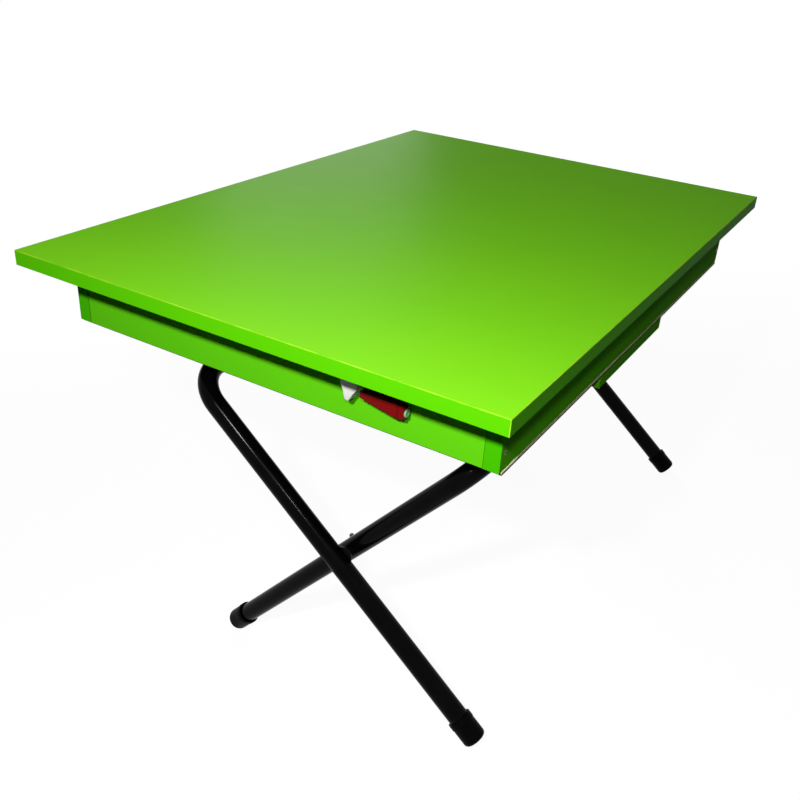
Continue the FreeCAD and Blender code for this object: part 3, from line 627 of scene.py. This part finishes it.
def bend_frame(name, half, reach, tube, bend):
    """A tube bent twice into a pair of legs with a crossbar, drawn from one foot round to the other."""
    piece = start_piece(name, bpy.ops.mesh.primitive_circle_add, vertices=ROUND_SIDES,
                        radius=tube / 2, location=(-half, 0.0, -reach))
    extrude(0.0, 0.0, reach - bend)
    corner = {"steps": BEND_STEPS, "angle": -math.pi / 2, "axis": (0.0, 1.0, 0.0), "use_auto_merge": False}
    bpy.ops.mesh.spin(center=(bend - half, 0.0, -bend), **corner)
    extrude(2 * (half - bend), 0.0, 0.0)
    bpy.ops.mesh.spin(center=(half - bend, 0.0, -bend), **corner)
    extrude(0.0, 0.0, bend - reach)
    close_shell()
    return piece


def mould_cap(sizes, depth):
    """A push-on cap with its end at zero: rim, recess round the tube, body and rounded end."""
    radius = sizes.cap / 2
    piece = start_piece("cap_pattern", bpy.ops.mesh.primitive_cylinder_add, vertices=ROUND_SIDES,
                        radius=radius, depth=sizes.cap_rim,
                        location=(0.0, 0.0, depth - sizes.cap_rim / 2))
    choose(piece, "FACE", facing(z=1.0))
    bpy.ops.mesh.inset(thickness=radius - sizes.tube / 2 - CAP_PLAY)
    extrude(0.0, 0.0, -CAP_MOUTH)
    choose(piece, "FACE", facing(z=-1.0))
    bpy.ops.mesh.inset(thickness=CAP_STEP)
    extrude(0.0, 0.0, sizes.cap_rim - depth)
    choose(piece, "EDGE", lambda edge: all(v.co.z < CAP_STEP for v in edge.verts))
    bpy.ops.mesh.bevel(offset=sizes.cap_round, segments=CAP_ROUND_STEPS, affect="EDGES")
    close_shell()
    round_edges(piece, CAP_EDGE)
    return piece


# Wing nuts. Steps of a wing: shares of its reach, of its height at foot and top, and of its thickness

NUT_SIDES = 24
NUT_DRAFT = 0.83
HUB_SHARE = 0.55
FLANK_DEGREES = 18.0
WING_STEPS = ((0.62, 0.14, 0.72, 1.0), (0.86, 0.38, 0.96, 0.9), (1.0, 0.6, 0.93, 0.75))


def forge_wing_nut(sizes, reach, height):
    """A wing nut standing on zero: a tapered hub with two wings drawn out, up and thinner."""
    hub = HUB_SHARE * height
    piece = start_piece("wing_nut_pattern", bpy.ops.mesh.primitive_cone_add, vertices=NUT_SIDES,
                        radius1=sizes.nut, radius2=NUT_DRAFT * sizes.nut, depth=hub,
                        location=(0.0, 0.0, hub / 2))
    for way in (-1.0, 1.0):
        choose(piece, "FACE", facing(x=way, within=FLANK_DEGREES))
        middle = Vector((way * sizes.nut, 0.0, hub / 2))
        tall = hub
        thick = 2 * sizes.nut * math.sin(math.tau / NUT_SIDES)
        for out, foot, top, thin in WING_STEPS:
            target = Vector((way * out * reach, 0.0, (foot + top) / 2 * height))
            draw_out(middle, target, (0.0, thin * sizes.wing / thick, (top - foot) * height / tall))
            middle = target
            tall = (top - foot) * height
            thick = thin * sizes.wing
    close_shell()
    round_edges(piece, sizes.moulded, sharp=25.0)
    return piece


# Catch. Steps of the keeper's tooth in millimetres: depth under the lid's upper face, left and right edge

TOOTH_STEPS = ((44.0, 99.5, 117.5), (47.0, 101.0, 116.2), (50.0, 102.2, 113.9), (55.0, 103.1, 110.6),
               (58.7, 104.8, 108.6))
TOOTH_ROUND = 2.0
THROW = JOINTS["catch_slide"]["range_m"][1]


def mould_keeper(sizes):
    """The keeper in the top's frame: a screwed foot and a hooked tooth with a pocket for the bolt."""
    low, high = reach_in_top("keeper")
    bolt_low, bolt_high = reach_in_top("catch_bolt")
    front = bolt_low.y - sizes.play - sizes.keeper_wall
    deep, left, right = (size * MM for size in TOOTH_STEPS[0])
    tooth = start_block("keeper_tooth", Vector((left, front, -deep)), Vector((right, high.y, high.z)))
    choose(tooth, "FACE", facing(z=-1.0))
    middle = Vector(((left + right) / 2, (front + high.y) / 2, -deep))
    wide = right - left
    for step in TOOTH_STEPS[1:]:
        deep, left, right = (size * MM for size in step)
        target = Vector(((left + right) / 2, middle.y, -deep))
        draw_out(middle, target, ((right - left) / wide, 1.0, 1.0))
        middle = target
        wide = right - left
    close_shell()
    round_edges(tooth, TOOTH_ROUND * sizes.moulded, segments=4, sharp=20.0)

    foot = start_block("keeper_foot", Vector((low.x, low.y, high.z - sizes.keeper_foot)), high)
    close_shell()
    round_edges(foot, sizes.moulded)
    join_solid(tooth, foot, "UNION")

    room = Vector.Fill(3, sizes.play)
    nose = Vector((bolt_low.x - THROW, bolt_low.y, bolt_high.z - bolt_depth(sizes, THROW))) - room
    mouth = Vector((bolt_low.x, bolt_high.y, bolt_high.z)) + room
    pocket = start_block("keeper_pocket", nose, mouth)
    close_shell()
    join_solid(tooth, pocket, "DIFFERENCE")
    return tooth


# Steps of the bolt behind its body in millimetres: how far back each is, and how far in its faces lie

BOLT_STEPS = ((0.0, 0.8), (0.8, 0.8), (0.8, 0.2), (6.9, 0.9))
BOLT_ROUND = 1.3

# The button's dish, with its rim and its slope as shares of the button's radius

BUTTON_DISH = 0.3 * MM
BUTTON_RIM = 0.3
BUTTON_SLOPE = 0.2


def bolt_depth(sizes, reach):
    """How deep the bolt is at a distance from its nose."""
    low, high = reach_in_top("catch_bolt")
    taper = (high.z - low.z - sizes.bolt_nose) / (high.x - low.x)
    return sizes.bolt_nose + taper * reach


def mould_bolt(sizes):
    """The bolt in the top's frame: a growing wedge, a groove, an end block and a slot for the rail."""
    low, high = reach_in_top("catch_bolt")
    body = Vector((low.x + sizes.bolt_body, (low.y + high.y) / 2, high.z))
    piece = start_block("catch_slide_bolt", Vector((low.x, low.y, high.z - sizes.bolt_nose)),
                        Vector((body.x, high.y, high.z)))
    choose(piece, "FACE", facing(x=1.0))
    tall = bolt_depth(sizes, sizes.bolt_body)
    bpy.ops.transform.resize(value=(1.0, 1.0, tall / sizes.bolt_nose), center_override=body)
    body.z -= tall / 2
    start = body
    before = full = Vector((high.y - low.y, tall))
    for back, inset in BOLT_STEPS:
        end = body + Vector((back * MM, 0.0, 0.0))
        now = full - 2 * inset * MM * Vector((1.0, 1.0))
        draw_out(start, end, (1.0, now.x / before.x, now.y / before.y))
        start = end
        before = now
    close_shell()
    round_edges(piece, BOLT_ROUND * sizes.moulded, sharp=25.0)

    rail_low, rail_high = reach_in_top("catch_rail")
    middle = (rail_low.x + rail_high.x) / 2
    near = Vector((middle - sizes.rail_head / 2, rail_low.y, rail_low.z))
    far = Vector((middle + sizes.rail_head / 2 + THROW, high.y, rail_high.z))
    room = Vector.Fill(3, sizes.play)
    slot = start_block("bolt_slot", near - room, far + room)
    close_shell()
    join_solid(piece, slot, "DIFFERENCE")
    return piece


def mould_button(sizes):
    """The button in the top's frame: a short disc on the bolt's end with a shallow dish for the thumb."""
    low, high = reach_in_top("catch_button")
    middle = (low + high) / 2
    radius = (high.z - low.z) / 2
    piece = start_piece("catch_thumb_button", bpy.ops.mesh.primitive_cylinder_add, vertices=ROUND_SIDES,
                        radius=radius, depth=sizes.button, rotation=(0.0, math.pi / 2, 0.0),
                        location=(high.x - sizes.button / 2, middle.y, middle.z))
    choose(piece, "FACE", facing(x=1.0))
    bpy.ops.mesh.inset(thickness=BUTTON_RIM * radius)
    bpy.ops.mesh.inset(thickness=BUTTON_SLOPE * radius, depth=-BUTTON_DISH)
    close_shell()
    round_edges(piece, sizes.moulded)
    return piece


class SEWING_OT_boards(bpy.types.Operator):
    """Dresses the lid, the tray's walls and bottom, and the bearer"""
    bl_idname = "sewing_table.boards"
    bl_label = "Boards"

    def execute(self, context):
        settings = context.scene.sewing_table
        colours = settings.colours
        sizes = settings.sizes
        satin = melamine_laminate(
            "melamine_laminate_satin", colours.laminate, colours.laminate_deep, sizes, SATIN_SHINE)
        dress(satin, "lid_board")
        matt = melamine_laminate(
            "melamine_laminate_matt", colours.tray, colours.tray_deep, sizes, MATT_SHINE)
        dress(matt, "tray_side_left", "tray_side_right", "tray_front", "tray_back", "bearer")
        # The pale lines along the edging's edges are partly a painted highlight
        edging = scrape_and_highlight_edging("melamine_edging_scrape_and_highlight", colours.band, colours, sizes, -sizes.seam)
        dress(edging, "lid_band")
        seam = reach_in_top("tray_end_bands_right")[0].x
        deep_edging = scrape_and_highlight_edging("melamine_edging_deep", colours.end_band, colours, sizes, seam)
        dress(deep_edging, "tray_end_bands_left", "tray_end_bands_right")
        dress(pressed_hardboard(colours, sizes), "tray_bottom")
        return {"FINISHED"}


class SEWING_OT_legs(bpy.types.Operator):
    """Bends the two leg frames and puts caps on their feet"""
    bl_idname = "sewing_table.legs"
    bl_label = "Legs"

    def execute(self, context):
        settings = context.scene.sewing_table
        sizes = settings.sizes
        enamel = black_enamel(settings.colours, sizes)
        polythene = moulded_plastic(
            "black_polythene_moulded", settings.colours.polythene, rough=0.4, shine=0.02)
        pattern = None
        for part in ("outer", "inner"):
            stance, half = leg_stance(part, sizes.tube)
            down = -stance.to_3x3().col[2]
            reach = span(f"{part}_cap_front", down, stance.translation)[0] + CAP_MOUTH
            tube = bend_frame(f"{part}_leg_tube", half, reach, sizes.tube, sizes.bend)
            place_piece(tube, stance)
            hand_over(tube, enamel, f"{part}_legs", f"{part}_frame")
            for side, across in zip(SIDES, (-half, half)):
                node = f"{part}_cap_{side}"
                near, far = span(node, down, stance.translation)
                if pattern is None:
                    depth = far - near
                    pattern = mould_cap(sizes, depth)
                cap = copy_piece(pattern, f"{part}_foot_{side}")
                stretch = Matrix.Diagonal((1.0, 1.0, (far - near) / depth, 1.0))
                place_piece(cap, stance @ Matrix.Translation((across, 0.0, -far)) @ stretch)
                cut_at_floor(cap)
                hand_over(cap, polythene, f"{part}_legs", node)
        discard(pattern)
        return {"FINISHED"}


class SEWING_OT_fittings(bpy.types.Operator):
    """Makes the wing nuts and dresses the pivots, blocks, guides, hinges, screws and nails"""
    bl_idname = "sewing_table.fittings"
    bl_label = "Fittings"

    def execute(self, context):
        settings = context.scene.sewing_table
        blackened = zinc_plate("black_zinc_plated_steel", settings.colours.black_zinc)
        dress(blackened, "tray_screws", *pairs("pivot_stud", "pivot_washer"))
        zinc = zinc_plate("bright_zinc_plated_steel", settings.colours.zinc)
        dress(zinc, *pairs("slide_guide", "hinge_tray_leaf", "hinge_lid_leaf", "hinge_pin"))
        dress(zinc, "bearer_screws", "block_screws", "guide_screws", "hinge_screws_tray",
              "hinge_screws_lid", "keeper_screws", "rail_screws", "bottom_nails")
        black = moulded_plastic("black_nylon_moulded", settings.colours.block, rough=0.45, shine=0.2)
        dress(black, *pairs("bearing_block", "pivot_spacer"))
        white = moulded_plastic("white_nylon_moulded", settings.colours.keeper, rough=0.42, shine=0.3)
        dress(white, *pairs("glide_strip"))

        pattern = None
        for side, inward in zip(SIDES, (1.0, -1.0)):
            node = f"wing_nut_{side}"
            low, high = reach_in_top(node)
            if pattern is None:
                pattern = forge_wing_nut(settings.sizes, (high.x - low.x) / 2, high.y - low.y)
            nut = copy_piece(pattern, f"wing_nut_{side}_forged")
            middle = (low + high) / 2
            middle.y = low.y if inward > 0 else high.y
            place_piece(nut, TOP @ stand(middle, Vector((1.0, 0.0, 0.0)), Vector((0.0, inward, 0.0))))
            hand_over(nut, blackened, "outer_legs", node)
        discard(pattern)
        return {"FINISHED"}


class SEWING_OT_catch(bpy.types.Operator):
    """Moulds the keeper and the sliding bolt with its button, and dresses the rail"""
    bl_idname = "sewing_table.catch"
    bl_label = "Catch"

    def execute(self, context):
        settings = context.scene.sewing_table
        white = moulded_plastic("white_nylon_keeper", settings.colours.keeper, rough=0.38, shine=0.3)
        keeper = mould_keeper(settings.sizes)
        place_piece(keeper, TOP)
        hand_over(keeper, white, "lid", "keeper")
        red = moulded_plastic("red_styrene_moulded", settings.colours.bolt, rough=0.24, shine=0.06)
        dress(red, "catch_rail")
        bolt = mould_bolt(settings.sizes)
        place_piece(bolt, TOP)
        hand_over(bolt, red, "catch", "catch_bolt")
        pale = moulded_plastic(
            "pale_green_styrene_moulded", settings.colours.button, rough=0.3, shine=0.1)
        button = mould_button(settings.sizes)
        place_piece(button, TOP)
        hand_over(button, pale, "catch", "catch_button")
        return {"FINISHED"}


# Stage. The paper glows a little less near the table than further off

PAPER = "626262"
WHITE = "FFFFFF"
PAPER_SIZE = 60.0
NEAR_TABLE, OFF_TABLE = 0.9, 2.4
NEAR_GLOW = 0.94
SENSOR_WIDTH = 36.0


def seen_rays(tree):
    """One for the rays that show the background: from the camera, off gloss and through clear things."""
    path = add_node(tree, "ShaderNodeLightPath").outputs
    gloss = add_node(tree, "ShaderNodeMath", {
        0: path["Is Camera Ray"], 1: path["Is Glossy Ray"]}, operation="MAXIMUM")
    return add_node(tree, "ShaderNodeMath", {0: gloss, 1: path["Is Transmission Ray"]}, operation="MAXIMUM")


def paper_sweep():
    """White paper sweep: matt, with a glow to white where it is seen, so only the table's shadow shows."""
    material, tree, here, surface = start_material("white_paper_sweep")
    away = add_node(tree, "ShaderNodeVectorMath", {0: here}, operation="LENGTH")
    paler = add_node(tree, "ShaderNodeMapRange", {
        "Value": away, "From Min": NEAR_TABLE, "From Max": OFF_TABLE, "To Min": NEAR_GLOW, "To Max": 1.0})
    glow = add_node(tree, "ShaderNodeMath", {0: seen_rays(tree), 1: paler}, operation="MULTIPLY")
    plug(tree, surface, {"Base Color": linear(PAPER), "Roughness": PAPER_ROUGH, "Specular IOR Level": 0.0,
                         "Emission Color": linear(WHITE), "Emission Strength": glow})
    return material


def add_soft_box(place, size, energy):
    """A square soft box that looks at the middle of the table's top."""
    place = Vector(place)
    aim = (TOP.translation - place).to_track_quat("-Z", "Y").to_euler()
    bpy.ops.object.light_add(type="AREA", location=place, rotation=aim)
    lamp = bpy.context.object.data
    lamp.size = size
    lamp.energy = energy


class SEWING_OT_stage(bpy.types.Operator):
    """Sets the floor, the lamps, the world and the camera"""
    bl_idname = "sewing_table.stage"
    bl_label = "Stage"

    def execute(self, context):
        stage = context.scene.sewing_table.stage
        bpy.ops.object.select_all(action="DESELECT")
        bpy.ops.mesh.primitive_plane_add(size=PAPER_SIZE)
        floor = context.object
        floor.name = "floor"
        floor.data.materials.append(paper_sweep())

        bpy.ops.object.camera_add(location=stage.place, rotation=stage.turn)
        camera = context.object
        camera.data.sensor_width = SENSOR_WIDTH
        camera.data.lens = stage.lens
        context.scene.camera = camera

        add_soft_box(stage.key_place, stage.key_size, stage.key_power)
        add_soft_box(stage.side_place, stage.side_size, stage.side_power)
        add_soft_box(stage.back_place, stage.back_size, stage.back_power)

        world = bpy.data.worlds.new("studio")
        world.use_nodes = True
        tree = world.node_tree
        tree.nodes.clear()
        level = add_node(tree, "ShaderNodeMapRange", {
            "Value": seen_rays(tree), "To Min": stage.fill, "To Max": 1.0})
        light = add_node(tree, "ShaderNodeBackground", {"Color": linear(WHITE), "Strength": level})
        add_node(tree, "ShaderNodeOutputWorld", {"Surface": light})
        context.scene.world = world
        context.scene.view_settings.view_transform = "Standard"
        return {"FINISHED"}


OPERATORS = (SEWING_OT_boards, SEWING_OT_legs, SEWING_OT_fittings, SEWING_OT_catch, SEWING_OT_stage)


class SEWING_PT_panel(bpy.types.Panel):
    """Lists the table's pieces and settings"""
    bl_idname = "SEWING_PT_panel"
    bl_label = "Sewing table"
    bl_space_type = "VIEW_3D"
    bl_region_type = "UI"
    bl_category = "Sewing table"

    def draw(self, context):
        settings = context.scene.sewing_table
        for group in (settings.colours, settings.sizes, settings.stage):
            for name in group.__annotations__:
                self.layout.prop(group, name)
        for operator in OPERATORS:
            self.layout.operator(operator.bl_idname)


CLASSES = (TableColours, TableSizes, TableStage, TableSettings, *OPERATORS, SEWING_PT_panel)


def register():
    """Registers the classes and gives the scene its settings."""
    for kind in CLASSES:
        bpy.utils.register_class(kind)
    bpy.types.Scene.sewing_table = bpy.props.PointerProperty(
        name="Sewing table", description="Settings of the sewing table", type=TableSettings)


def unregister():
    """Takes the settings and the classes away again."""
    del bpy.types.Scene.sewing_table
    for kind in reversed(CLASSES):
        bpy.utils.unregister_class(kind)


def main():
    """Makes the table and its stage."""
    register()
    for operator in OPERATORS:
        group, name = operator.bl_idname.split(".")
        getattr(getattr(bpy.ops, group), name)()


if __name__ == "__main__":
    main()
